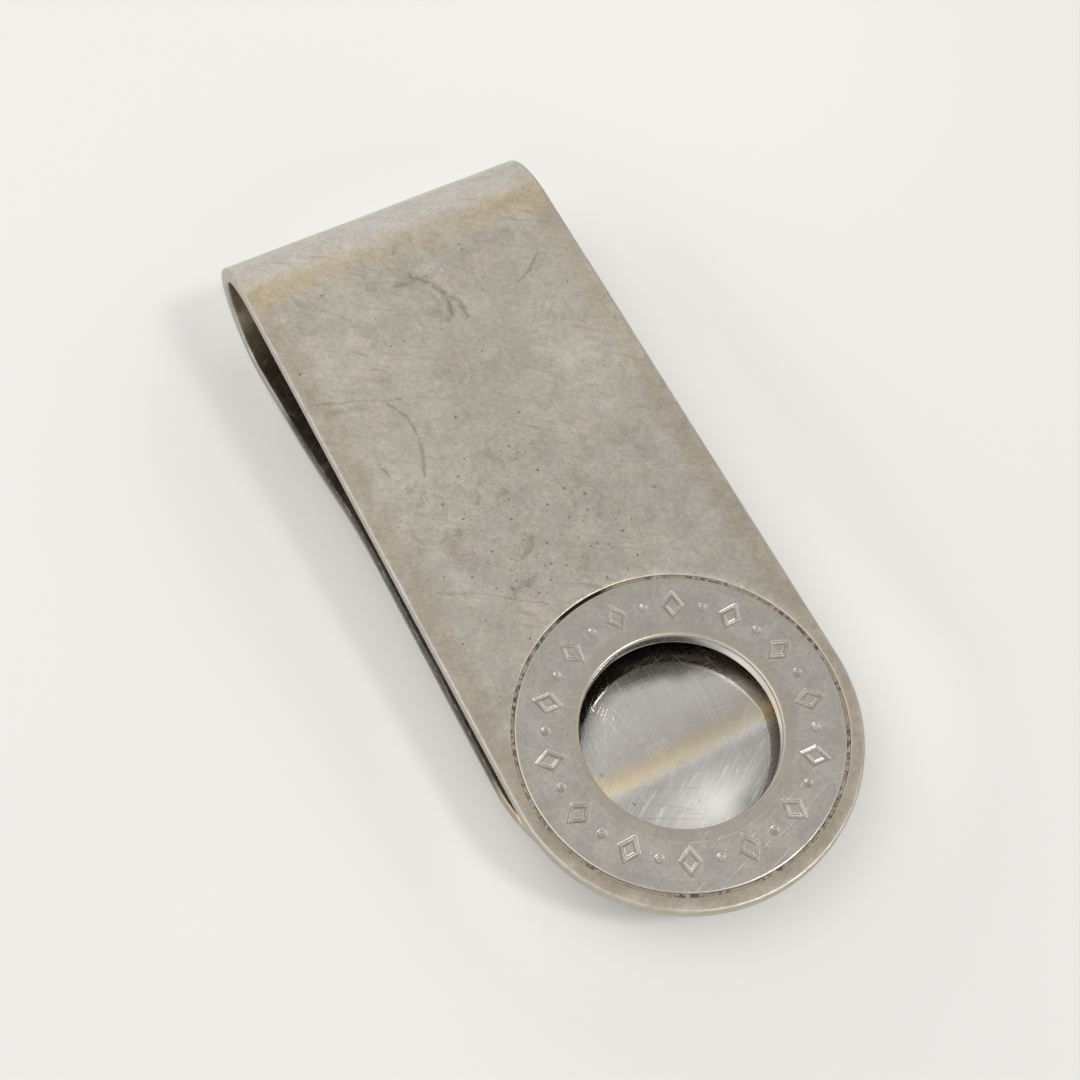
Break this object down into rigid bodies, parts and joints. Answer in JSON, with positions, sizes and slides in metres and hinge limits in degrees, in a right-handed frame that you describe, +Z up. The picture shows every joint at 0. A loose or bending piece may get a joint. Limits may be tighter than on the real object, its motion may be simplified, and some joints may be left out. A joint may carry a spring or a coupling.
{
  "type": "money clip",
  "caption": "Folded sheet-metal money clip: a flat front leaf with an inset ring round a window, a spring fold, and a back leaf that presses towards it.",
  "frame": {"origin": "bottom centre of the bounding box, on the surface that the clip lies on, window up", "axes": "+Y lengthwise from the window end to the fold, +X across the strip, +Z up, out of the front leaf. The front leaf leans 5.32 degrees about X because the clip lies on its loop and on the tip of its back leaf."},
  "size_m": [0.022, 0.0554, 0.0097],
  "materials": {
    "strip_silver": "worn satin silver, lightly tarnished",
    "ring_silver": "worn satin silver, engraved border",
    "seam_solder": "dark oxidised solder"
  },
  "bodies": {
    "back": {"back_leaf": "strip_silver", "fold_spring": "strip_silver"},
    "front": {"front_leaf": "strip_silver", "window_ring": "ring_silver", "solder_seam": "seam_solder"}
  },
  "joints": [
    {"name": "leaf_flex", "type": "hinge", "parent": "back", "child": "front", "pos_m": [0, 0.02299, 0.00475], "axis": [-1, 0, 0], "range_deg": [-2.2, 8], "stiffness_Nm_per_rad": 4.6, "deforming": ["fold_spring"]}
  ]
}
